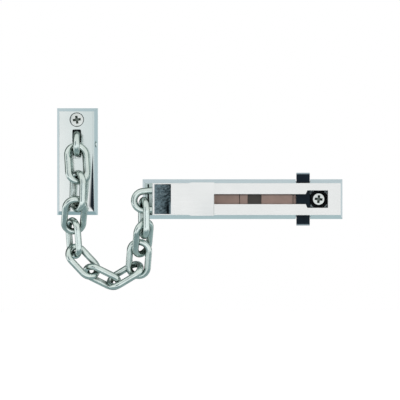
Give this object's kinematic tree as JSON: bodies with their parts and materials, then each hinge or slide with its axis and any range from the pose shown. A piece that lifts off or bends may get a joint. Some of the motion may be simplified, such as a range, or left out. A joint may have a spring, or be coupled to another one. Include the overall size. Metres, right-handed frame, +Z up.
{
  "type": "door chain",
  "caption": "Nickel-plated door chain: a slotted jamb plate holds one end of the chain, and a slider on its other end runs along a bevelled rail with a keyhole and a lock bar.",
  "frame": {"origin": "centre of the rail's back face, on the door's surface", "axes": "+X along the rail towards its keyhole, +Y into the door, +Z up; the front faces -Y"},
  "size_m": [0.1664, 0.0458, 0.1061],
  "materials": {
    "nickel": "polished nickel plating on a zinc casting",
    "chain_steel": "nickel-plated steel wire, bent and welded",
    "screw_steel": "nickel-plated steel",
    "base_steel": "stamped steel, zinc-plated",
    "brown_plastic": "moulded brown plastic, satin",
    "spring_steel": "blank spring steel strip",
    "bar_plastic": "moulded black plastic, satin",
    "black_plastic": "moulded black plastic, matte"
  },
  "bodies": {
    "mount_set": {"jamb_plate": "nickel", "jamb_screws": "screw_steel", "anchor_pin": "screw_steel", "link_01": "chain_steel", "rail_cover": "nickel", "rail_base": "base_steel", "guide_strip": "brown_plastic", "screw_pad": "black_plastic", "rail_screws": "screw_steel", "lock_spring": "spring_steel"},
    "slider": {"slider_body": "nickel", "slider_ring": "chain_steel", "ring_rivet": "screw_steel"},
    "lock_bar": {"lock_bar": "bar_plastic"},
    "link_02": {"link_02": "chain_steel"},
    "link_03": {"link_03": "chain_steel"},
    "link_04": {"link_04": "chain_steel"},
    "link_05": {"link_05": "chain_steel"},
    "link_06": {"link_06": "chain_steel"},
    "link_07": {"link_07": "chain_steel"},
    "link_08": {"link_08": "chain_steel"},
    "link_09": {"link_09": "chain_steel"},
    "link_10": {"link_10": "chain_steel"},
    "link_11": {"link_11": "chain_steel"}
  },
  "joints": [
    {"name": "slider_slide", "type": "slide", "parent": "mount_set", "child": "slider", "axis": [1, 0, 0], "range_m": [0, 0.046]},
    {"name": "lock_bar_press", "type": "slide", "parent": "mount_set", "child": "lock_bar", "axis": [0, 1, 0], "range_m": [0, 0.0024], "stiffness_N_per_m": 400, "deforming": ["lock_spring"]},
    {"name": "link_02_turn", "type": "hinge", "parent": "mount_set", "child": "link_02", "pos_m": [-0.09624, -0.01621, 0.02969], "axis": [0, 1, 0], "range_deg": [-15.1, 0]},
    {"name": "link_03_turn", "type": "hinge", "parent": "link_02", "child": "link_03", "pos_m": [-0.09482, -0.01911, 0.01253], "axis": [0, 1, 0], "range_deg": [-10.1, 0]},
    {"name": "link_04_turn", "type": "hinge", "parent": "link_03", "child": "link_04", "pos_m": [-0.09586, -0.01787, -0.00297], "axis": [0, 1, 0], "range_deg": [-5.2, 0]},
    {"name": "link_05_turn", "type": "hinge", "parent": "link_04", "child": "link_05", "pos_m": [-0.09867, -0.00983, -0.01548], "axis": [0, 1, 0], "range_deg": [0, 7.1]},
    {"name": "link_06_turn", "type": "hinge", "parent": "link_05", "child": "link_06", "pos_m": [-0.0986, -0.00835, -0.03079], "axis": [0, 1, 0], "range_deg": [0, 12]},
    {"name": "link_07_turn", "type": "hinge", "parent": "link_06", "child": "link_07", "pos_m": [-0.08831, -0.00769, -0.04226], "axis": [0, 1, 0], "range_deg": [0, 3.4]},
    {"name": "link_08_turn", "type": "hinge", "parent": "link_07", "child": "link_08", "pos_m": [-0.07478, -0.0068, -0.04965], "axis": [0, 1, 0], "range_deg": [0, 13.3]},
    {"name": "link_09_turn", "type": "hinge", "parent": "link_08", "child": "link_09", "pos_m": [-0.06037, -0.00775, -0.04178], "axis": [0, 1, 0], "range_deg": [0, 18.4]},
    {"name": "link_10_turn", "type": "hinge", "parent": "link_09", "child": "link_10", "pos_m": [-0.0591, -0.01103, -0.02828], "axis": [0, 1, 0], "range_deg": [0, 1.5]},
    {"name": "link_11_turn", "type": "hinge", "parent": "link_10", "child": "link_11", "pos_m": [-0.05697, -0.0178, -0.0173], "axis": [0, 1, 0], "range_deg": [0, 9.7]}
  ],
  "couplings": [
    {"joint": "link_02_turn", "follows": "slider_slide", "rad_per_m": -5.6956},
    {"joint": "link_03_turn", "follows": "slider_slide", "rad_per_m": -3.8077},
    {"joint": "link_04_turn", "follows": "slider_slide", "rad_per_m": -1.9625},
    {"joint": "link_05_turn", "follows": "slider_slide", "rad_per_m": 2.6865},
    {"joint": "link_06_turn", "follows": "slider_slide", "rad_per_m": 4.5492},
    {"joint": "link_07_turn", "follows": "slider_slide", "rad_per_m": 1.252},
    {"joint": "link_08_turn", "follows": "slider_slide", "rad_per_m": 5.0257},
    {"joint": "link_09_turn", "follows": "slider_slide", "rad_per_m": 6.9681},
    {"joint": "link_10_turn", "follows": "slider_slide", "rad_per_m": 0.533},
    {"joint": "link_11_turn", "follows": "slider_slide", "rad_per_m": 3.6579}
  ]
}
